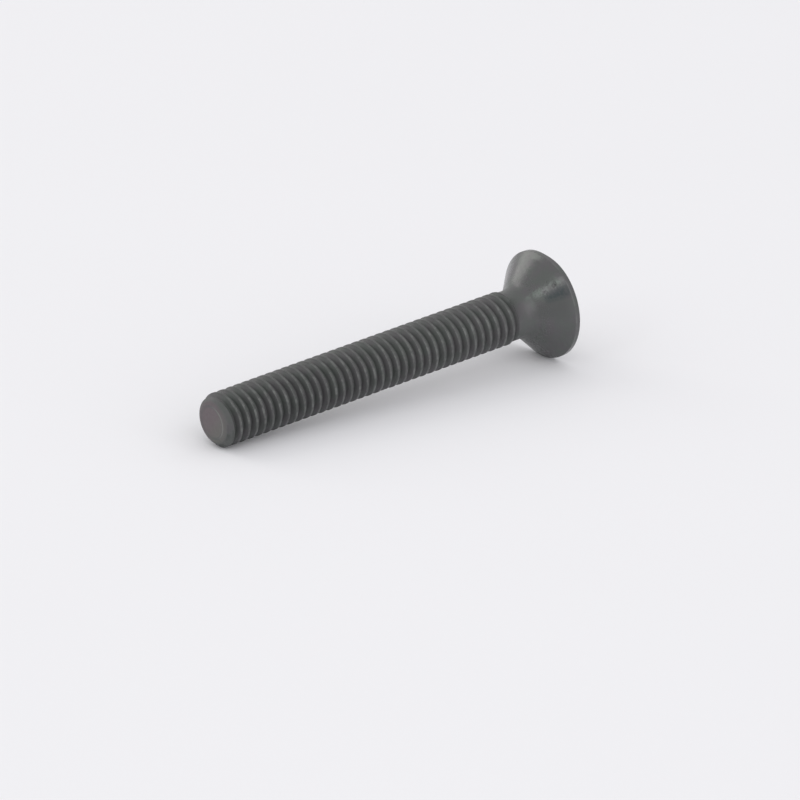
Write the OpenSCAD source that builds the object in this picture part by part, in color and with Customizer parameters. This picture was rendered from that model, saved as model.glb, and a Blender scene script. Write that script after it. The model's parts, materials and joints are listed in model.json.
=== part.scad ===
// Countersunk machine bolt with a hexagon socket, threaded over the whole shank.
// It lies at rest: the rim of the head and the first full crest by the tip touch the plane z = 0.
// +X runs from the tip towards the head, and the origin is under the middle of the bolt.

/* [Bolt] */
// Overall length from the tip to the top of the head
bolt_len = 30; // [16:1:40]

/* [Thread] */
// Nominal diameter of the thread
thread_d = 4; // [3.8:0.1:5]
// Amount by which the diameter over the crests stays below the nominal one
crest_allowance = 0.08; // [0:0.01:0.16]
// Pitch of the single-start right-hand thread
pitch = 0.7; // [0.5:0.05:1]
// Angle between the two flanks of the thread
flank_angle = 60; // [50:1:65]
// Distance from the tip to the first full crest on the underside
first_crest = 0.55; // [0.5:0.05:1.2]
// Length over which the thread runs out below the head
runout_len = 0.2; // [0.1:0.05:1.5]

/* [Tip] */
// Diameter of the flat at the tip
tip_d = 2.5; // [2:0.1:2.6]
// Radius of the round edge between the flat and the chamfer
tip_round = 0.6; // [0.4:0.05:0.8]
// Angle of the chamfer with the bolt's axis
tip_angle = 45; // [35:1:55]

/* [Head] */
// Diameter of the head
head_d = 8; // [7:0.1:9.5]
// Angle of the countersunk cone
head_angle = 90; // [80:1:100]
// Height of the narrow cylindrical land round the head
land_h = 0.38; // [0.2:0.02:0.6]
// Radius of the two edges of the land
rim_round = 0.06; // [0.02:0.01:0.08]
// Diameter of the neck where the thread has run out
neck_d = 3.66; // [3.3:0.02:3.8]
// Length of the plain neck between the thread and the fillet
neck_len = 0.65; // [0.1:0.05:1]
// Radius of the fillet between the neck and the cone
fillet_r = 1.4; // [0.4:0.1:4]

/* [Drive] */
// Hexagon socket, across the flats
socket_af = 2.5; // [2:0.1:3]
// Depth of the hexagon below the top of the head
socket_depth = 1.8; // [1:0.1:2]
// Angle of the cone at the bottom of the socket
socket_point_angle = 120; // [100:1:150]
// Width of the chamfer round the mouth of the socket, beyond the corners
mouth_chamfer = 0.06; // [0.02:0.02:0.2]

/* [Hidden] */

// Facets in one turn of the thread, and sides of the arcs in the outlines
turn_steps = 24;
fillet_steps = 10;
round_steps = 4;
$fn = 96;

// Cuts run past the faces that they open
cut_past = 0.5;
// The shank reaches this far into the head, and is this much thinner there than the neck
shank_sunk = 0.35;
shank_step = 0.05;
// Share of the tip's disc that the shank reaches into, and how much thinner it is there than the disc
tip_sunk = 0.3;
tip_step = 0.02;
// Points of the thread closer than this to an end lie on it
end_snap = 0.006;

// Thread form: an eighth of the nominal pitch is flat at the crest and a sixth at the root
crest_r = (thread_d - crest_allowance) / 2;
crest_flat = pitch / 8 + crest_allowance * tan(flank_angle / 2);
root_flat = pitch / 6;
flank_len = (pitch - crest_flat - root_flat) / 2;
root_r = crest_r - flank_len / tan(flank_angle / 2);
profile_z = [-crest_flat / 2, crest_flat / 2, crest_flat / 2 + flank_len, crest_flat / 2 + flank_len + root_flat];
profile_r = [crest_r, crest_r, root_r, root_r];
profile_n = len(profile_z);

// Tip: the round edge ends where the chamfer begins, and the chamfer ends at the crests
tip_r = tip_d / 2;
chamfer_start = tip_round * (1 - sin(tip_angle));
chamfer_start_r = tip_r + tip_round * cos(tip_angle);
chamfer_end = chamfer_start + (crest_r - chamfer_start_r) / tan(tip_angle);
// The tip's disc ends where its round edge is as wide as the root of the thread
disc_r = clamp(root_r, tip_r + tip_round / 4, chamfer_start_r);
disc_angle = acos((disc_r - tip_r) / tip_round);
disc_h = tip_round * (1 - sin(disc_angle));

// Head outline, measured along the bolt from the tip
head_r = head_d / 2;
neck_r = neck_d / 2;
cone_half = head_angle / 2;
cone_end = bolt_len - land_h;
cone_corner = cone_end - (head_r - neck_r) / tan(cone_half);
neck_end = cone_corner - fillet_r * tan(cone_half / 2);
neck_start = neck_end - neck_len;
rim_low_z = cone_end + rim_round * tan(cone_half / 2);
rim_mid_r = head_r - rim_round;
socket_corner_r = socket_af / 2 / cos(30);
socket_point_h = socket_af / 2 / tan(socket_point_angle / 2);
mouth_r = socket_corner_r + mouth_chamfer;

// Shank: the helix starts two turns before the shank and ends two turns past it
shank_start = disc_h * (1 - tip_sunk);
shank_end = neck_start + shank_sunk;
runout_start = neck_start - runout_len;
helix_start = first_crest - 2 * pitch - pitch * ceil(first_crest / pitch);
helix_turns = ceil((shank_end - helix_start) / pitch) + 2;
helix_steps = helix_turns * turn_steps;

// Lying at rest: the lower edge of the land and the first full crest share one tangent plane
crest_skip = max(0, ceil((chamfer_end - first_crest - crest_flat / 2) / pitch));
contact_z = max(chamfer_end, first_crest + crest_skip * pitch - crest_flat / 2);
rest_rise = rim_mid_r - crest_r;
rest_run = rim_low_z - contact_z;
rest_tilt = atan2(rest_rise, rest_run) + asin(rim_round / norm([rest_rise, rest_run]));
rest_lift = rim_mid_r * cos(rest_tilt) + rim_round - rim_low_z * sin(rest_tilt);
rest_shift = -(bolt_len * cos(rest_tilt) + (rim_mid_r - tip_r) * sin(rest_tilt)) / 2;

function clamp(v, low, high) = min(max(v, low), high);

// Height of a thread point, snapped to the ends of the shank
function raw_z(i, j) = helix_start + pitch * i / turn_steps + profile_z[j];
function shank_z(z) = z < shank_start + end_snap ? shank_start : z > shank_end - end_snap ? shank_end : z;

// Radius of a thread point: cut by the tip's round edge and chamfer, and run out to the neck
function round_r(z) = tip_r + sqrt(max(0, z * (2 * tip_round - z)));
function chamfer_r(z) = chamfer_start_r + (z - chamfer_start) * tan(tip_angle);
function blank_r(z) = z > chamfer_start ? chamfer_r(z) : z > disc_h ? round_r(z) : round_r(z) - tip_step;
function runout(z) = clamp((z - runout_start) / runout_len, 0, 1);
function shank_r(z, r) = min(r + (neck_r - shank_step - r) * runout(z), blank_r(z));

// One point of the thread: step i along the helix, point j of the profile
function thread_point(i, j) =
    let (z = shank_z(raw_z(i, j)), r = shank_r(z, profile_r[j]), a = (i % turn_steps) * 360 / turn_steps)
    [r * cos(a), r * sin(a), z];

// Index of a point: after the last profile point comes the first one of the next turn
function thread_index(i, j) = j < profile_n ? i * profile_n + j : thread_index(i + turn_steps, j - profile_n);

// An arc as points [r, z], from angle a to angle b round a centre
function arc(centre, radius, a, b, steps) =
    [for (s = [0 : steps]) let (t = a + (b - a) * s / steps) centre + radius * [cos(t), sin(t)]];

// Half outline of the tip's disc as points [r, z]: flat, round edge, top
function tip_outline() = concat(
    [[0, 0]],
    arc([tip_r, tip_round], tip_round, -90, -disc_angle, round_steps),
    [[0, disc_h]]
);

// Half outline of the head as points [r, z]: neck, fillet, cone, land with its two round edges, top
function head_outline() = concat(
    [[0, neck_start], [neck_r, neck_start]],
    arc([neck_r + fillet_r, neck_end], fillet_r, 180, 180 - cone_half, fillet_steps),
    arc([rim_mid_r, rim_low_z], rim_round, -cone_half, 0, round_steps),
    arc([rim_mid_r, bolt_len - rim_round], rim_round, 0, 90, round_steps),
    [[0, bolt_len]]
);

// Disc at the tip, with the flat's round edge
module tip() {
    rotate_extrude() polygon(tip_outline());
}

// Shank with the helical thread, chamfered towards the tip
module threaded_shank() {
    points = [for (i = [0 : helix_steps + turn_steps]) for (j = [0 : profile_n - 1]) thread_point(i, j)];
    flanks = [
        for (i = [0 : helix_steps - 1])
        for (j = [0 : profile_n - 1])
        let (a = thread_index(i, j), b = thread_index(i + 1, j))
        let (c = thread_index(i + 1, j + 1), d = thread_index(i, j + 1))
        each [[a, d, c], [a, c, b]]
    ];
    tip_face = [for (i = [0 : turn_steps - 1]) thread_index(i, 0)];
    sunk_face = [for (i = [turn_steps - 1 : -1 : 0]) thread_index(helix_steps + i, 0)];
    polyhedron(points, concat(flanks, [tip_face, sunk_face]), convexity = 10);
}

// Hexagon socket with a conical bottom and a chamfered mouth
module drive_socket() {
    translate([0, 0, bolt_len - socket_depth])
        cylinder(r = socket_corner_r, h = socket_depth + cut_past, $fn = 6);
    translate([0, 0, bolt_len - socket_depth - socket_point_h])
        cylinder(r1 = 0, r2 = socket_af / 2, h = socket_point_h);
    translate([0, 0, bolt_len - mouth_r])
        cylinder(r1 = 0, r2 = mouth_r + cut_past, h = mouth_r + cut_past);
}

// Countersunk head, revolved about the bolt's axis
module head() {
    difference() {
        rotate_extrude() polygon(head_outline());
        drive_socket();
    }
}

// The whole bolt is one forged and rolled piece
module bolt() {
    color([0.29, 0.29, 0.3])
        translate([rest_shift, 0, rest_lift])
            rotate([0, 90 - rest_tilt, 0])
                union() {
                    tip();
                    threaded_shank();
                    head();
                }
}

bolt();
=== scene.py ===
"""Looks of a black countersunk bolt that lies on a pale floor.

Sizes of the bolt are millimetres, measured from the tip along its own axis, and angles round it are counted
from the underside. Sizes of the floor and the lights are metres.
"""
import json
import math
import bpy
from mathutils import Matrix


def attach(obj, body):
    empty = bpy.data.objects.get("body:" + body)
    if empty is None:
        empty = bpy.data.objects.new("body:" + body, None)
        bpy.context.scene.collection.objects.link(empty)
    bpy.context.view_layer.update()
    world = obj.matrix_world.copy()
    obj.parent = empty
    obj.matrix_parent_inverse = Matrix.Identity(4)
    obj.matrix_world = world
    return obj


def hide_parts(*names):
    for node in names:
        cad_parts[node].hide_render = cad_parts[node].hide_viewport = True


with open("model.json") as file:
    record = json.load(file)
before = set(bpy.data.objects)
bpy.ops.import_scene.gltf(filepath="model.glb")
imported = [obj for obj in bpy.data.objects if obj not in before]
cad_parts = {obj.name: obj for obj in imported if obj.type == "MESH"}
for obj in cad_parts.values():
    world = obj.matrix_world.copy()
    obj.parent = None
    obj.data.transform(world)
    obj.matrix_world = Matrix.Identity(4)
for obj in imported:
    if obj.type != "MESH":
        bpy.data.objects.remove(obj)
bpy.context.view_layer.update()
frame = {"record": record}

from types import SimpleNamespace

import bmesh
import bpy
import numpy as np
from mathutils import Matrix, Vector, noise

MM = 0.001
MOUNTS = {mount["name"]: mount for mount in frame["record"]["mounts"]}

# Overall sizes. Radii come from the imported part's mounts, and the two insets keep the skin inside the CAD box
BOLT_LEN = 30.0
THREAD_INSET = 0.053
HEAD_INSET = 0.005
THREAD_R = MOUNTS["thread"]["dims"]["r_mm"] - THREAD_INSET
HEAD_R = MOUNTS["countersink_seat"]["dims"]["r_mm"] - HEAD_INSET
SOCKET_HALF_AF = MOUNTS["drive_socket"]["dims"]["r_mm"]
SOCKET_DEPTH = MOUNTS["drive_socket"]["dims"]["length_mm"]

# Thread form, with the crest and the root rounded as rolling leaves them
PITCH = 0.7
FLANK_HALF = math.radians(30)
CREST_FLAT = 0.17
ROOT_FLAT = PITCH / 6
CREST_ROUND = 0.03
ROOT_ROUND = 0.10
FIRST_CREST = 0.55
RUNOUT_LEN = 0.2
# Turns of the helix before the first crest and past the neck, where it is cut off
LEAD_IN_TURNS = 3
LEAD_OUT_TURNS = 2
# Thread points closer than this to the ring at an end lie on it
END_SNAP = 0.004

# Tip, neck and head
TIP_R = 1.25
TIP_ROUND = 0.6
TIP_ANGLE = math.radians(45)
TIP_DISC_R = 1.56
TIP_Z = 0.003
TIP_WORN = 0.2
CHAMFER_BLEND = 0.04
NECK_R = 1.825
NECK_LEN = 0.65
LAND_H = 0.38
CONE_HALF = math.radians(45)
FILLET_R = 1.4
RIM_ROUND = 0.06

# Socket: its conical point begins at a share of the half width across flats, and its mouth is chamfered
SOCKET_POINT_HALF = math.radians(60)
SOCKET_POINT_SHARE = 0.985
MOUTH_CHAMFER = 0.06
SIXTH_TURN = math.radians(60)

# Mesh density: columns round the bolt (a multiple of six, for the socket's corners) and rows in each stretch
COLUMNS = 96
THREAD_ARC_STEPS = 3
FILLET_STEPS = 12
ROUND_STEPS = 5
TIP_EDGE_ROWS = 6
CONE_ROWS = 26
TOP_ROWS = 8
WALL_ROWS = 6
DISC_ROWS = 6
SHARP_ANGLE = math.radians(38)

# Small dents in the cone: along the bolt, angle in degrees, radius and depth
CONE_DENTS = [
    (29.03, 226.5, 0.085, 0.05),
    (28.75, 217.0, 0.06, 0.02),
    (28.40, 227.5, 0.05, 0.012),
]
# Form of a dent, in its own radii: its reach, how fast it rises, and the place, width and share of its lip
DENT_REACH = 4
DENT_RISE = 1.6
DENT_LIP_AT = 1.5
DENT_LIP_WIDTH = 0.5
DENT_LIP_SHARE = 0.25
DENT_REFINEMENTS = 3
# Painted light and shade on the cone: a painted shade, a painted dark reflection and a painted highlight; along
# the bolt and angle in degrees, each with its half width
PAINTED_MARKS = {
    "dim": (28.35, 1.15, 256.0, 17.0),
    "smear": (28.95, 0.75, 238.0, 8.5),
    "scuff": (27.85, 0.65, 221.0, 6.0),
}
# Worn place at the top of the rim: angle and half width, depth and reach
RIM_WORN_AT = math.radians(187)
RIM_WORN_HALF = math.radians(20)
RIM_WORN_DEPTH = 0.12
RIM_WORN_REACH = 0.35
# Side on which crests and the tip's edge are worn and painted pale as highlight, where the grooves get most
# painted shade and away from which the crests get painted shade; and the width of the pale line of wear and
# painted highlight on the head's edges
WEAR_AND_PAINTED_LIGHT_SIDE = math.radians(255)
RIM_WEAR_AND_HIGHLIGHT_WIDTH = 0.1
# Nicks along the crests: number, seed, and the limits of their half width in turns and of their depth
CREST_NICKS = 46
NICK_SEED = 11
NICK_HALF_WIDTHS = (0.006, 0.02)
NICK_DEPTHS = (0.015, 0.05)
# Depth of the skin's unevenness, and its waves in a millimetre
UNEVEN = 0.004
UNEVEN_SCALE = 1.7
# Points closer than this to the axis have no direction of their own
AXIS_GAP = 1e-6

# Point values that the finish depends on: crests and edges, which get pale wear, painted highlight and painted
# shade, the tip, and the thread
POINT_VALUES = ("crest", "tip", "thread")
# Values where the chamfer cuts the thread
CHAMFER_CREST = 0.45
CHAMFER_THREAD = 0.3
# Tip values on the worn line inside the tip's edge and on that edge, and the part lost over the round edge
TIP_ON_WORN_LINE = 0.6
TIP_ON_EDGE = 0.5
TIP_LOST_ON_ROUND = 0.7

# Camera: its view in degrees from +Y towards -X and down from the horizon, distance and aim in millimetres
CAMERA_AZIMUTH = -38.83
CAMERA_ELEVATION = 20.411
CAMERA_DISTANCE = 563.815
CAMERA_AIM = (1.135, -0.634, 0.0)
CAMERA_LENS = 360.0
CAMERA_SENSOR = 36.0
CAMERA_CLIP_START = 0.01

# Colours of the finish and of painted light and shade, as linear values. Pairs are a purplish and a greenish
# tint, mixed in blotches
HEAD_COLOURS = ((0.095, 0.091, 0.096, 1.0), (0.088, 0.095, 0.091, 1.0))
# Painted shade in the thread's grooves, lighter near the head than near the tip
GROOVE_SHADE_COLOURS = ((0.055, 0.054, 0.056, 1.0), (0.050, 0.056, 0.052, 1.0))
GROOVE_SHADE_BY_HEAD_COLOURS = ((0.077, 0.075, 0.077, 1.0), (0.071, 0.077, 0.073, 1.0))
# Painted shade on the cone below its dark band
SHADE_BAND_COLOUR = (0.074, 0.077, 0.076, 1.0)
# Painted dark reflection band on the cone
DARK_REFLECTION_COLOUR = (0.036, 0.048, 0.052, 1.0)
# Painted highlight streak on the cone
HIGHLIGHT_STREAK_COLOUR = (0.128, 0.15, 0.136, 1.0)
# Painted shade on the crests towards the top
CREST_SHADE_COLOUR = (0.055, 0.056, 0.056, 1.0)
# Pale crests and head edges: partly wear, partly painted highlight
WEAR_AND_HIGHLIGHT_COLOUR = (0.132, 0.137, 0.134, 1.0)
TIP_LINE_COLOUR = (0.225, 0.218, 0.205, 1.0)
# The tip is greyish low on its -Y side and reddish high on its +Y side
TIP_COLOURS = ((0.123, 0.120, 0.112, 1.0), (0.129, 0.106, 0.114, 1.0))

# Noises in the finish: scale in a millimetre, and detail
BLOTCH_NOISE = (0.8, 3.0)
GRAIN_NOISE = (4.5, 4.0)
FINE_NOISE = (11.0, 3.0)
RUB_NOISE = (1.9, 2.0)
NOISE_ROUGHNESS = 0.55

# Ranges in the finish: the value's low and high end, then what they become where that isn't 0 and 1
MOTTLE_BY_BLOTCH = (0.38, 0.62)
# Painted shade in the grooves: along the bolt, and by side, where below zero it paints the grooves lighter
# towards the top
GROOVE_SHADE_BY_ALONG = (4.0, 26.0)
GROOVE_SHADE_BY_SIDE = (0.36, 0.95, -0.25, 1.0)
# Painted dark reflection and painted highlight streak on the cone, broken up by grain
DARK_REFLECTION_BY_GRAIN = (0.3, 0.6, 0.5, 1.0)
HIGHLIGHT_STREAK_BY_GRAIN = (0.42, 0.6, 0.15, 0.9)
# Painted shade on the crests away from the worn side
CREST_SHADE_BY_CREST = (0.6, 1.0)
CREST_SHADE_BY_SIDE = (0.25, 0.75, 0.7, 0.0)
# Pale crests and edges on the worn side: partly wear, partly painted highlight
WEAR_AND_HIGHLIGHT_BY_CREST = (0.80, 1.0)
WEAR_AND_HIGHLIGHT_BY_SIDE = (0.3, 0.8)
WEAR_AND_HIGHLIGHT_BY_NOISE = (0.38, 0.68, 0.1, 1.0)
WEAR_AND_HIGHLIGHT_BY_GRAIN = (0.3, 0.65, 0.5, 1.0)
TIP_COLOUR_BY_PLACE = (0.9, 2.9)
TIP_BY_CREST = (0.0, 0.6, 1.0, 0.0)
TIP_LINE_BY_CREST = (0.5, 0.95)
SMOOTH_BY_GRAIN = (0.35, 0.65, 0.17, 0.27)
MATT_TIP_BY_ALONG = (0.8, 1.3, 0.32, 0.0)
MATT_NECK_BY_ALONG = (27.0, 28.5, 0.2, 0.0)

# Other values of the finish
MATT_THREAD = 0.17
OXIDE_METALLIC = 0.25
OXIDE_IOR = 1.55
BUMP_FINE_SHARE = 0.4
BUMP_STRENGTH = 0.2
BUMP_DISTANCE = 0.04 * MM

# Floor
FLOOR_HALF = 1.5
FLOOR_COLOUR = (0.86, 0.855, 0.885, 1.0)
FLOOR_PALER = 1.012
FLOOR_NOISE = (30.0, 2.0)
FLOOR_ROUGHNESS = 0.9
FLOOR_SPECULAR = 0.1

# Lights, their directions in degrees from +X towards +Y and up from the floor, and the even surround
SOFTBOXES = {
    "key": {
        "azimuth": 105.0, "elevation": 30.0, "distance": 0.9,
        "width": 0.40, "height": 0.70, "power": 1.35, "colour": (1.0, 0.99, 0.94),
    },
    "side": {
        "azimuth": -164.0, "elevation": 30.0, "distance": 0.9,
        "width": 0.16, "height": 0.2, "power": 0.27, "colour": (0.92, 1.0, 0.94),
    },
    "front": {
        "azimuth": -97.0, "elevation": 33.0, "distance": 1.3,
        "width": 1.7, "height": 1.2, "power": 5.2, "colour": (1.0, 1.0, 1.0),
    },
}
WORLD_COLOUR = (1.0, 1.0, 1.0, 1.0)
WORLD_STRENGTH = 0.80


def round_corners(points, radii, steps):
    """A polyline whose inner points become arcs of the given radii, each with that many steps."""
    points = [np.array(p, float) for p in points]
    out = [points[0]]
    for before, corner, after, radius, count in zip(points, points[1:], points[2:], radii, steps):
        into = (corner - before) / np.linalg.norm(corner - before)
        leave = (after - corner) / np.linalg.norm(after - corner)
        turn = math.acos(float(np.clip(into @ leave, -1, 1)))
        side = math.copysign(1.0, into[0] * leave[1] - into[1] * leave[0])
        inward = side * np.array([-into[1], into[0]])
        start = corner - into * radius * math.tan(turn / 2)
        for k in range(count + 1):
            a = turn * k / count
            out.append(start + radius * (math.sin(a) * into + (1 - math.cos(a)) * inward))
    out.append(points[-1])
    return out


def subdivided(points, index, rows):
    """The polyline with the stretch after the given point cut into rows."""
    a, b = points[index], points[index + 1]
    extra = [a + (b - a) * k / rows for k in range(1, rows)]
    return points[:index + 1] + extra + points[index + 1:]


def thread_profile():
    """One pitch of the thread as rows [along, radius], from the crest's near side, and the root's radius."""
    flank = (PITCH - CREST_FLAT - ROOT_FLAT) / 2
    root_r = THREAD_R - flank / math.tan(FLANK_HALF)
    half = CREST_FLAT / 2
    corners = [
        (-half - flank / 2, (THREAD_R + root_r) / 2),
        (-half, THREAD_R),
        (half, THREAD_R),
        (half + flank, root_r),
        (half + flank + ROOT_FLAT, root_r),
        (PITCH - half - flank / 2, (THREAD_R + root_r) / 2),
    ]
    radii = [CREST_ROUND, CREST_ROUND, ROOT_ROUND, ROOT_ROUND]
    rows = round_corners(corners, radii, [THREAD_ARC_STEPS] * len(radii))
    return np.array(rows[1:-1]), root_r


def soft_min(a, b, width):
    """The smaller of two values, with a smooth change between them."""
    h = np.clip(0.5 + 0.5 * (b - a) / width, 0, 1)
    return b + (a - b) * h - width * h * (1 - h)


class Surface:
    """Points, faces and point values of the bolt's skin, built ring by ring round its axis."""

    def __init__(self):
        self.points = []
        self.faces = []
        self.values = {name: [] for name in POINT_VALUES}
        self.angles = np.arange(COLUMNS) * 2 * math.pi / COLUMNS

    def add(self, r, z, angle, crest=0.0, tip=0.0, thread=0.0):
        """A point with its values. Gives its index."""
        self.points.append((r * math.cos(angle), r * math.sin(angle), z))
        for name, value in zip(POINT_VALUES, (crest, tip, thread)):
            self.values[name].append(value)
        return len(self.points) - 1

    def ring(self, r, z, crest=0.0, tip=0.0):
        """One ring, whose radius, height and crest value, for pale wear, painted highlight and painted shade,
        may change round it.
        """
        rs = np.broadcast_to(r, COLUMNS)
        zs = np.broadcast_to(z, COLUMNS)
        worn = np.broadcast_to(crest, COLUMNS)
        return [self.add(rs[c], zs[c], self.angles[c], float(worn[c]), tip) for c in range(COLUMNS)]

    def face(self, *corners):
        """A face with repeated corners left out, or nothing where fewer than three remain."""
        kept = [v for k, v in enumerate(corners) if v != corners[k - 1]]
        if len(set(kept)) == len(kept) and len(kept) > 2:
            self.faces.append(kept)

    def bridge(self, rings):
        """Faces between each ring and the next one along the outline."""
        for low, high in zip(rings, rings[1:]):
            for c in range(COLUMNS):
                n = (c + 1) % COLUMNS
                self.face(low[c], low[n], high[n], high[c])

    def cap(self, ring, z, tip=0.0, flip=False):
        """A fan from a ring to a point on the axis."""
        centre = self.add(0.0, z, 0.0, tip=tip)
        for c in range(COLUMNS):
            n = (c + 1) % COLUMNS
            if flip:
                self.face(ring[n], ring[c], centre)
            else:
                self.face(ring[c], ring[n], centre)


def blank_radius(z):
    """Radius of the tip's round edge and chamfer at a height."""
    round_end = TIP_ROUND * (1 - math.sin(TIP_ANGLE))
    low = np.clip(z - TIP_Z, 0, round_end)
    edge = TIP_R + np.sqrt(low * (2 * TIP_ROUND - low))
    return edge + np.maximum(z - TIP_Z - round_end, 0) * math.tan(TIP_ANGLE)


def tip_rings(surface):
    """The tip's flat and its round edge. Gives the ring where the chamfered thread begins, and its height."""
    rings = []
    for k in range(1, DISC_ROWS + 1):
        rings.append(surface.ring((TIP_R - TIP_WORN) * k / DISC_ROWS, TIP_Z, 0.0, 1.0))
    worn = 0.5 + 0.5 * np.cos(surface.angles - WEAR_AND_PAINTED_LIGHT_SIDE)
    rings.append(surface.ring(TIP_R - TIP_WORN / 2, TIP_Z, worn, TIP_ON_WORN_LINE))
    rings.append(surface.ring(TIP_R, TIP_Z, worn, TIP_ON_EDGE))
    edge_angle = math.acos((TIP_DISC_R - TIP_R) / TIP_ROUND)
    for k in range(1, TIP_EDGE_ROWS + 1):
        share = k / TIP_EDGE_ROWS
        a = math.pi / 2 + (edge_angle - math.pi / 2) * share
        end_z = TIP_Z + TIP_ROUND * (1 - math.sin(a))
        tip = 1 - TIP_LOST_ON_ROUND * share
        rings.append(surface.ring(TIP_R + TIP_ROUND * math.cos(a), end_z, 0.0, tip))
    surface.cap(rings[0], TIP_Z, 1.0, flip=True)
    surface.bridge(rings)
    return rings[-1], end_z


def head_outline():
    """Neck, fillet, cone, land and top as points [radius, along], up to the socket's mouth."""
    cone_end = BOLT_LEN - LAND_H
    corner_z = cone_end - (HEAD_R - NECK_R) / math.tan(CONE_HALF)
    neck_z = corner_z - FILLET_R * math.tan(CONE_HALF / 2) - NECK_LEN
    mouth_r = SOCKET_HALF_AF / math.cos(SIXTH_TURN / 2) + MOUTH_CHAMFER
    corners = [
        (NECK_R, neck_z),
        (NECK_R, corner_z),
        (HEAD_R, cone_end),
        (HEAD_R, BOLT_LEN),
        (mouth_r, BOLT_LEN),
    ]
    radii = [FILLET_R, RIM_ROUND, RIM_ROUND]
    outline = round_corners(corners, radii, [FILLET_STEPS, ROUND_STEPS, ROUND_STEPS])
    outline = subdivided(outline, len(outline) - 2, TOP_ROWS)
    return subdivided(outline, FILLET_STEPS + 1, CONE_ROWS), neck_z, mouth_r


def socket_rings(surface, mouth, mouth_r):
    """The hexagon socket: chamfered mouth, walls, floor and conical point."""
    hexagon = SOCKET_HALF_AF / np.cos(surface.angles % SIXTH_TURN - SIXTH_TURN / 2)
    floor_z = BOLT_LEN - SOCKET_DEPTH
    top_z = BOLT_LEN - (mouth_r - hexagon)
    rings = [mouth]
    for k in range(WALL_ROWS + 1):
        rings.append(surface.ring(hexagon, top_z + (floor_z - top_z) * k / WALL_ROWS))
    point_h = SOCKET_HALF_AF / math.tan(SOCKET_POINT_HALF)
    for k in range(DISC_ROWS):
        share = 1 - k / DISC_ROWS
        point_r = SOCKET_HALF_AF * SOCKET_POINT_SHARE * share
        rings.append(surface.ring(point_r, floor_z - point_h * (1 - share)))
    surface.bridge(rings)
    surface.cap(rings[-1], floor_z - point_h)


def head_rings(surface):
    """The head and its socket. Gives the ring where the thread ends, and its height."""
    outline, neck_z, mouth_r = head_outline()
    cone_end = BOLT_LEN - LAND_H
    rim_worn = RIM_WORN_DEPTH * np.exp(-((surface.angles - RIM_WORN_AT) / RIM_WORN_HALF) ** 2)
    rings = []
    for r, z in outline:
        to_edge = math.hypot(r - HEAD_R, min(abs(z - cone_end), abs(z - BOLT_LEN)))
        # Pale line along the head's edges: partly rubbed wear, partly painted highlight
        edge_wear_and_highlight = math.exp(-(to_edge / RIM_WEAR_AND_HIGHLIGHT_WIDTH) ** 2)
        reach = max(0.0, 1 - (HEAD_R - r) / RIM_WORN_REACH)
        rings.append(surface.ring(r - rim_worn * reach, z, edge_wear_and_highlight))
    surface.bridge(rings)
    socket_rings(surface, rings[-1], mouth_r)
    return rings[0], neck_z


def nick_list(turns):
    """Seeded small nicks along the crests: place and half width in turns of the helix, and depth."""
    draw = np.random.default_rng(NICK_SEED)
    limits = ((0, turns), NICK_HALF_WIDTHS, NICK_DEPTHS)
    return [[draw.uniform(low, high) for low, high in limits] for _ in range(CREST_NICKS)]


def thread_field(high_z):
    """Heights, radii and point values of the thread, a row for each step of the helix, and its turns."""
    profile, root_r = thread_profile()
    profile_z = profile[None, :, 0]
    profile_r = profile[None, :, 1]
    start = FIRST_CREST - LEAD_IN_TURNS * PITCH
    turns = math.ceil((high_z - start) / PITCH) + LEAD_OUT_TURNS
    steps = np.arange((turns + 1) * COLUMNS + 1)
    z = start + PITCH * steps[:, None] / COLUMNS + profile_z
    runout = np.clip((z - high_z + RUNOUT_LEN) / RUNOUT_LEN, 0, 1)
    runout = runout * runout * (3 - 2 * runout)
    r = profile_r + (NECK_R - profile_r) * runout
    # Crest values: pale wear and painted highlight on the worn side, painted shade on the top crests
    worn = np.clip((profile_r - root_r) / (THREAD_R - root_r), 0, 1) ** 2 * (1 - runout)
    for at, half, depth in nick_list(turns):
        near = np.exp(-((steps / COLUMNS - at) / half) ** 2)[:, None]
        r = r - depth * near * worn ** 3
    chamfer = blank_radius(z)
    cut = chamfer < r
    return SimpleNamespace(
        turns=turns,
        z=z,
        r=soft_min(r, chamfer, CHAMFER_BLEND),
        crest=np.where(cut, CHAMFER_CREST, worn),
        thread=(1 - runout) * np.where(cut, CHAMFER_THREAD, 1.0),
    )


def thread_skin(surface, low, low_z, high, high_z):
    """The helical thread between the tip's ring and the neck's ring."""
    field = thread_field(high_z)
    rows, count = field.z.shape
    index = np.empty((rows, count), int)
    for i in range(rows):
        column = i % COLUMNS
        for j in range(count):
            z = field.z[i, j]
            if z < low_z + END_SNAP:
                index[i, j] = low[column]
            elif z > high_z - END_SNAP:
                index[i, j] = high[column]
            else:
                values = {"crest": float(field.crest[i, j]), "thread": float(field.thread[i, j])}
                index[i, j] = surface.add(field.r[i, j], z, surface.angles[column], **values)

    def point(i, j):
        """Index of a point, where the profile's end goes on into the next turn."""
        return int(index[i, j]) if j < count else int(index[i + COLUMNS, 0])

    for i in range(field.turns * COLUMNS):
        for j in range(count):
            surface.face(point(i, j), point(i + 1, j), point(i + 1, j + 1), point(i, j + 1))


def bolt_pose():
    """Matrix from the bolt's own millimetres (tip at zero, axis +Z, underside +X) to the frame."""
    socket = MOUNTS["drive_socket"]
    axis = Vector(socket["axis"]).normalized()
    tip = Vector(socket["pos_m"]) - axis * (BOLT_LEN - SOCKET_DEPTH) * MM
    side = Vector((0, 1, 0))
    under = side.cross(axis)
    turn = Matrix((under, side, axis)).transposed().to_4x4()
    return Matrix.Translation(tip) @ turn @ Matrix.Scale(MM, 4)


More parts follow.
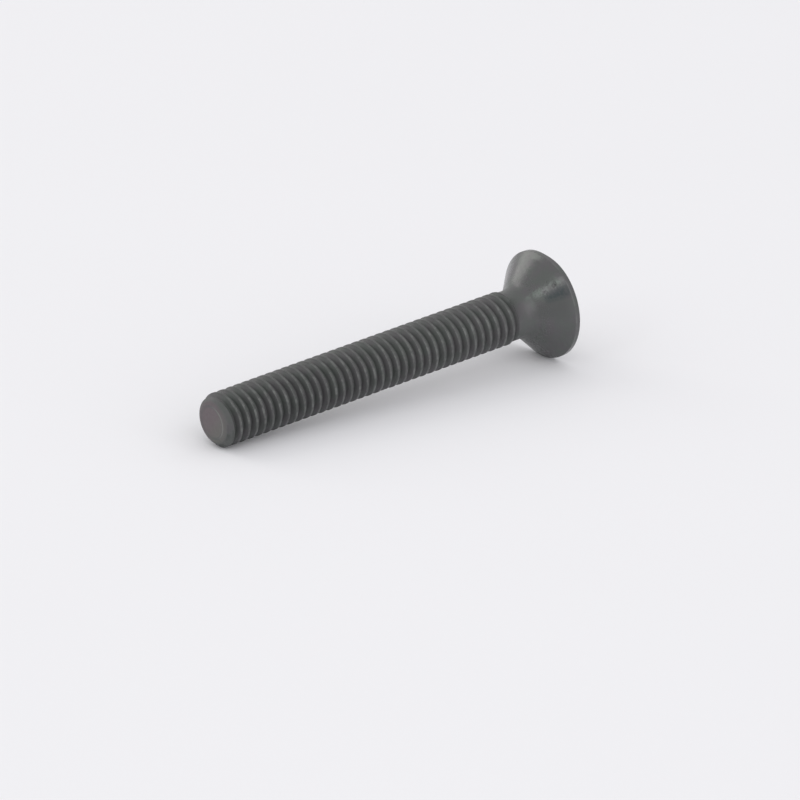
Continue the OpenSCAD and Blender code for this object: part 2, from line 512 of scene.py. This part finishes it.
def dent(mesh):
    """Refines the skin round each dent on the cone and presses the dent in, with a low lip round it."""
    bm = bmesh.new()
    bm.from_mesh(mesh)
    for along, angle, radius, depth in CONE_DENTS:
        a = math.radians(angle)
        r = HEAD_R - (BOLT_LEN - LAND_H - along) * math.tan(CONE_HALF)
        centre = Vector((r * math.cos(a), r * math.sin(a), along))
        reach = DENT_REACH * radius
        for _ in range(DENT_REFINEMENTS):
            near = {f for f in bm.faces if all((v.co - centre).length < reach for v in f.verts)}
            edges = [e for e in bm.edges if not near.isdisjoint(e.link_faces)]
            bmesh.ops.subdivide_edges(bm, edges=edges, cuts=1, use_grid_fill=True)
        inward = Vector((-math.cos(a), -math.sin(a), 1)).normalized()
        for v in bm.verts:
            d = (v.co - centre).length / radius
            if d < DENT_REACH:
                lip = DENT_LIP_SHARE * math.exp(-((d - DENT_LIP_AT) / DENT_LIP_WIDTH) ** 2)
                v.co += inward * depth * (math.exp(-DENT_RISE * d * d) - lip)
    bm.to_mesh(mesh)
    bm.free()


def mark_share(point, along, half_along, angle, half_angle):
    """How much of a painted mark of light or shade lies at a point of the skin, from 0 to 1."""
    turn = math.degrees(math.atan2(point.y, point.x)) % 360 - angle
    across = max(0.0, 1 - (turn / half_angle) ** 2)
    return across * max(0.0, 1 - ((point.z - along) / half_along) ** 4)


def add_layer(mesh, name, values):
    """A number for each point of the mesh, which materials read by its name."""
    layer = mesh.attributes.new(name, "FLOAT", "POINT")
    layer.data.foreach_set("value", np.array(values, np.float32))


def finish_layers(mesh):
    """Point values for the finish: the place round and along the bolt, and the painted light and shade marks on
    the cone.
    """
    places = np.empty((len(mesh.vertices), 3), np.float32)
    for place, v in zip(places, mesh.vertices):
        r = max(math.hypot(v.co.x, v.co.y), AXIS_GAP)
        place[:] = v.co.x / r, v.co.y / r, v.co.z
    mesh.attributes.new("lathe", "FLOAT_VECTOR", "POINT").data.foreach_set("vector", places.ravel())
    for name, mark in PAINTED_MARKS.items():
        add_layer(mesh, name, [mark_share(v.co, *mark) for v in mesh.vertices])


def roughen(mesh):
    """Very slight unevenness of the forged and rolled skin."""
    for v in mesh.vertices:
        r = math.hypot(v.co.x, v.co.y)
        if r > TIP_R and v.co.z < BOLT_LEN - LAND_H:
            outward = Vector((v.co.x, v.co.y, 0)) / r
            v.co -= outward * UNEVEN * (0.5 + 0.5 * noise.noise(v.co * UNEVEN_SCALE))


def bolt_mesh():
    """The whole bolt as one closed skin."""
    surface = Surface()
    low, low_z = tip_rings(surface)
    high, high_z = head_rings(surface)
    thread_skin(surface, low, low_z, high, high_z)
    mesh = bpy.data.meshes.new("bolt_skin")
    mesh.from_pydata(surface.points, [], surface.faces)
    for name, values in surface.values.items():
        add_layer(mesh, name, values)
    mesh.validate()
    dent(mesh)
    finish_layers(mesh)
    roughen(mesh)
    mesh.transform(bolt_pose())
    mesh.polygons.foreach_set("use_smooth", [True] * len(mesh.polygons))
    mesh.set_sharp_from_angle(angle=SHARP_ANGLE)
    mesh.update()
    bolt = bpy.data.objects.new("bolt_skin", mesh)
    bpy.context.collection.objects.link(bolt)
    return bolt


class Nodes:
    """Short calls for building a material's nodes."""

    # Colour sockets of a Mix node, whose names repeat
    MIX_A = 6
    MIX_B = 7
    MIX_RESULT = 2

    def __init__(self, name):
        self.material = bpy.data.materials.new(name)
        self.material.use_nodes = True
        self.tree = self.material.node_tree
        self.shader = self.tree.nodes["Principled BSDF"]

    def new(self, kind, inputs=None, **settings):
        made = self.tree.nodes.new(kind)
        for key, value in settings.items():
            setattr(made, key, value)
        for key, value in (inputs or {}).items():
            self.feed(made.inputs[key], value)
        return made

    def feed(self, socket, value):
        if isinstance(value, bpy.types.NodeSocket):
            self.tree.links.new(value, socket)
        else:
            socket.default_value = value

    def attribute(self, name, output="Fac"):
        return self.new("ShaderNodeAttribute", attribute_name=name).outputs[output]

    def place(self):
        return self.new("ShaderNodeTexCoord").outputs["Object"]

    def noise(self, vector, scale, detail):
        inputs = {"Vector": vector, "Scale": scale, "Detail": detail, "Roughness": NOISE_ROUGHNESS}
        return self.new("ShaderNodeTexNoise", inputs).outputs["Fac"]

    def ranged(self, value, low, high, to_low=0.0, to_high=1.0):
        inputs = {"Value": value, "From Min": low, "From Max": high, "To Min": to_low, "To Max": to_high}
        return self.new("ShaderNodeMapRange", inputs, interpolation_type="SMOOTHSTEP").outputs["Result"]

    def math(self, operation, a, b):
        return self.new("ShaderNodeMath", {0: a, 1: b}, operation=operation).outputs[0]

    def times(self, a, b):
        return self.math("MULTIPLY", a, b)

    def mix(self, share, a, b):
        made = self.new("ShaderNodeMix", {"Factor": share}, data_type="RGBA")
        self.feed(made.inputs[self.MIX_A], a)
        self.feed(made.inputs[self.MIX_B], b)
        return made.outputs[self.MIX_RESULT]

    def scaled(self, vector, scale):
        return self.new("ShaderNodeMapping", {"Vector": vector, "Scale": scale}).outputs["Vector"]

    def parts(self, vector):
        return self.new("ShaderNodeSeparateXYZ", {"Vector": vector}).outputs


def skin_values(n):
    """What the finish depends on: point values, the place along the bolt, the side that is worn and that gets
    painted light and shade, and noises.
    """
    lathe = n.attribute("lathe", "Vector")
    wear_and_painted_light_way = (math.cos(WEAR_AND_PAINTED_LIGHT_SIDE), math.sin(WEAR_AND_PAINTED_LIGHT_SIDE), 0.0)
    facing = n.new("ShaderNodeVectorMath", {0: lathe, 1: wear_and_painted_light_way}, operation="DOT_PRODUCT")
    millimetres = n.scaled(n.place(), (1 / MM, 1 / MM, 1 / MM))
    return SimpleNamespace(
        along=n.parts(lathe)["Z"],
        wear_and_painted_light_side=facing.outputs["Value"],
        millimetres=millimetres,
        blotch=n.noise(millimetres, *BLOTCH_NOISE),
        grain=n.noise(millimetres, *GRAIN_NOISE),
        fine=n.noise(millimetres, *FINE_NOISE),
        rub=n.noise(millimetres, *RUB_NOISE),
        **{name: n.attribute(name) for name in (*POINT_VALUES, *PAINTED_MARKS)},
    )


def steel_colour(n, skin):
    """Mottled grey on the head, with painted shade in the thread's grooves that is darkest on the worn side and
    turns to painted light towards the top.
    """
    mottle = n.ranged(skin.blotch, *MOTTLE_BY_BLOTCH)
    by_tip = n.mix(mottle, *GROOVE_SHADE_COLOURS)
    by_head = n.mix(mottle, *GROOVE_SHADE_BY_HEAD_COLOURS)
    groove_shade_colour = n.mix(n.ranged(skin.along, *GROOVE_SHADE_BY_ALONG), by_tip, by_head)
    # Painted shade in the grooves, darkest on the worn side; towards the top the share drops below zero and
    # paints the grooves lighter instead
    groove_shade_share = n.times(skin.thread, n.ranged(skin.wear_and_painted_light_side, *GROOVE_SHADE_BY_SIDE))
    return n.mix(groove_shade_share, n.mix(mottle, *HEAD_COLOURS), groove_shade_colour)


def crest_shade_share(n, skin):
    """Crests away from the worn side, towards the top, painted darker: painted shade that dims their bright
    reflection.
    """
    away = n.times(skin.thread, n.ranged(skin.wear_and_painted_light_side, *CREST_SHADE_BY_SIDE))
    return n.times(n.ranged(skin.crest, *CREST_SHADE_BY_CREST), away)


def wear_and_highlight_share(n, skin):
    """Patches of the crests and the head's edges painted pale on the worn side: partly rubbed wear, partly
    painted highlight.
    """
    patchy = n.times(n.ranged(skin.rub, *WEAR_AND_HIGHLIGHT_BY_NOISE), n.ranged(skin.grain, *WEAR_AND_HIGHLIGHT_BY_GRAIN))
    sided = n.times(patchy, n.ranged(skin.wear_and_painted_light_side, *WEAR_AND_HIGHLIGHT_BY_SIDE))
    return n.times(n.ranged(skin.crest, *WEAR_AND_HIGHLIGHT_BY_CREST), sided)


def tip_colour(n, skin):
    """Greyish to reddish across the tip, with an uneven change between them."""
    parts = n.parts(skin.millimetres)
    across = n.math("ADD", n.math("ADD", parts["Y"], parts["Z"]), skin.blotch)
    return n.mix(n.ranged(across, *TIP_COLOUR_BY_PLACE), *TIP_COLOURS)


def oxide_colour(n, skin):
    """The steel's colour, covered in turn by painted shade, a painted dark reflection and a painted highlight
    on the cone, painted shade on the top crests, pale crests of wear and painted highlight, and the tip's
    tints.
    """
    layers = [
        # Painted shade, painted dark reflection and painted highlight on the cone, then painted shade on the
        # top crests and pale wear with painted highlight
        (skin.dim, SHADE_BAND_COLOUR),
        (n.times(skin.smear, n.ranged(skin.grain, *DARK_REFLECTION_BY_GRAIN)), DARK_REFLECTION_COLOUR),
        (n.times(skin.scuff, n.ranged(skin.grain, *HIGHLIGHT_STREAK_BY_GRAIN)), HIGHLIGHT_STREAK_COLOUR),
        (crest_shade_share(n, skin), CREST_SHADE_COLOUR),
        (wear_and_highlight_share(n, skin), WEAR_AND_HIGHLIGHT_COLOUR),
        (n.times(skin.tip, n.ranged(skin.crest, *TIP_BY_CREST)), tip_colour(n, skin)),
        (n.times(skin.tip, n.ranged(skin.crest, *TIP_LINE_BY_CREST)), TIP_LINE_COLOUR),
    ]
    colour = steel_colour(n, skin)
    for share, layer in layers:
        colour = n.mix(share, colour, layer)
    return colour


def oxide_roughness(n, skin):
    """Glossy on the cone, and more matt in the thread, on the tip and at the neck."""
    matt_thread = n.times(n.math("MAXIMUM", skin.thread, skin.tip), MATT_THREAD)
    matt_tip = n.ranged(skin.along, *MATT_TIP_BY_ALONG)
    matt_neck = n.ranged(skin.along, *MATT_NECK_BY_ALONG)
    matt = n.math("MAXIMUM", n.math("MAXIMUM", matt_thread, matt_tip), matt_neck)
    return n.math("ADD", n.ranged(skin.grain, *SMOOTH_BY_GRAIN), matt)


def black_oxide():
    """Black oxide on steel, worn and marked, with painted light and shade on its cone, crests and grooves."""
    n = Nodes("black_oxide")
    skin = skin_values(n)
    n.feed(n.shader.inputs["Base Color"], oxide_colour(n, skin))
    n.feed(n.shader.inputs["Roughness"], oxide_roughness(n, skin))
    n.shader.inputs["Metallic"].default_value = OXIDE_METALLIC
    n.shader.inputs["IOR"].default_value = OXIDE_IOR
    height = n.math("ADD", n.times(skin.fine, BUMP_FINE_SHARE), skin.grain)
    inputs = {"Height": height, "Strength": BUMP_STRENGTH, "Distance": BUMP_DISTANCE}
    n.feed(n.shader.inputs["Normal"], n.new("ShaderNodeBump", inputs).outputs["Normal"])
    return n.material


def floor_material():
    """Pale matt paper with a barely visible unevenness."""
    n = Nodes("pale_floor")
    cloud = n.noise(n.place(), *FLOOR_NOISE)
    paler = tuple(min(1.0, c * FLOOR_PALER) for c in FLOOR_COLOUR[:3]) + (1.0,)
    n.feed(n.shader.inputs["Base Color"], n.mix(cloud, FLOOR_COLOUR, paler))
    n.shader.inputs["Roughness"].default_value = FLOOR_ROUGHNESS
    n.shader.inputs["Specular IOR Level"].default_value = FLOOR_SPECULAR
    return n.material


def make_floor():
    """A wide pale floor at the height on which the bolt lies."""
    mesh = bpy.data.meshes.new("floor")
    corners = [(x * FLOOR_HALF, y * FLOOR_HALF, 0) for x, y in ((-1, -1), (1, -1), (1, 1), (-1, 1))]
    mesh.from_pydata(corners, [], [(0, 1, 2, 3)])
    mesh.materials.append(floor_material())
    floor = bpy.data.objects.new("floor", mesh)
    bpy.context.collection.objects.link(floor)


def direction(azimuth, elevation):
    """Unit vector towards a place at an azimuth (degrees from +X towards +Y) and an elevation."""
    a, e = math.radians(azimuth), math.radians(elevation)
    return Vector((math.cos(e) * math.cos(a), math.cos(e) * math.sin(a), math.sin(e)))


def add_softbox(name, azimuth, elevation, distance, width, height, power, colour):
    """A rectangular soft light that faces the bolt."""
    light = bpy.data.lights.new(name, "AREA")
    light.shape = "RECTANGLE"
    light.size = width
    light.size_y = height
    light.energy = power
    light.color = colour
    lamp = bpy.data.objects.new(name, light)
    lamp.location = direction(azimuth, elevation) * distance
    lamp.rotation_euler = (-lamp.location).to_track_quat("-Z", "Y").to_euler()
    bpy.context.collection.objects.link(lamp)


def light_scene():
    """Soft studio light: a key behind, a small light on the left, a wide one in front and the surround."""
    for name, softbox in SOFTBOXES.items():
        add_softbox(name, **softbox)
    world = bpy.data.worlds.new("surround")
    world.use_nodes = True
    background = world.node_tree.nodes["Background"]
    background.inputs["Color"].default_value = WORLD_COLOUR
    background.inputs["Strength"].default_value = WORLD_STRENGTH
    bpy.context.scene.world = world
    bpy.context.scene.view_settings.view_transform = "Standard"


def add_camera():
    """The camera at the photograph's viewing angle, with a long lens."""
    data = bpy.data.cameras.new("camera")
    data.lens = CAMERA_LENS
    data.sensor_width = CAMERA_SENSOR
    data.clip_start = CAMERA_CLIP_START
    camera = bpy.data.objects.new("camera", data)
    a, e = math.radians(CAMERA_AZIMUTH), math.radians(CAMERA_ELEVATION)
    forward = Vector((-math.sin(a) * math.cos(e), math.cos(a) * math.cos(e), -math.sin(e)))
    camera.location = (Vector(CAMERA_AIM) - forward * CAMERA_DISTANCE) * MM
    camera.rotation_euler = forward.to_track_quat("-Z", "Y").to_euler()
    bpy.context.collection.objects.link(camera)
    bpy.context.scene.camera = camera


bolt = bolt_mesh()
bolt.data.materials.append(black_oxide())
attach(bolt, "root")
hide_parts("bolt")

make_floor()
light_scene()
add_camera()
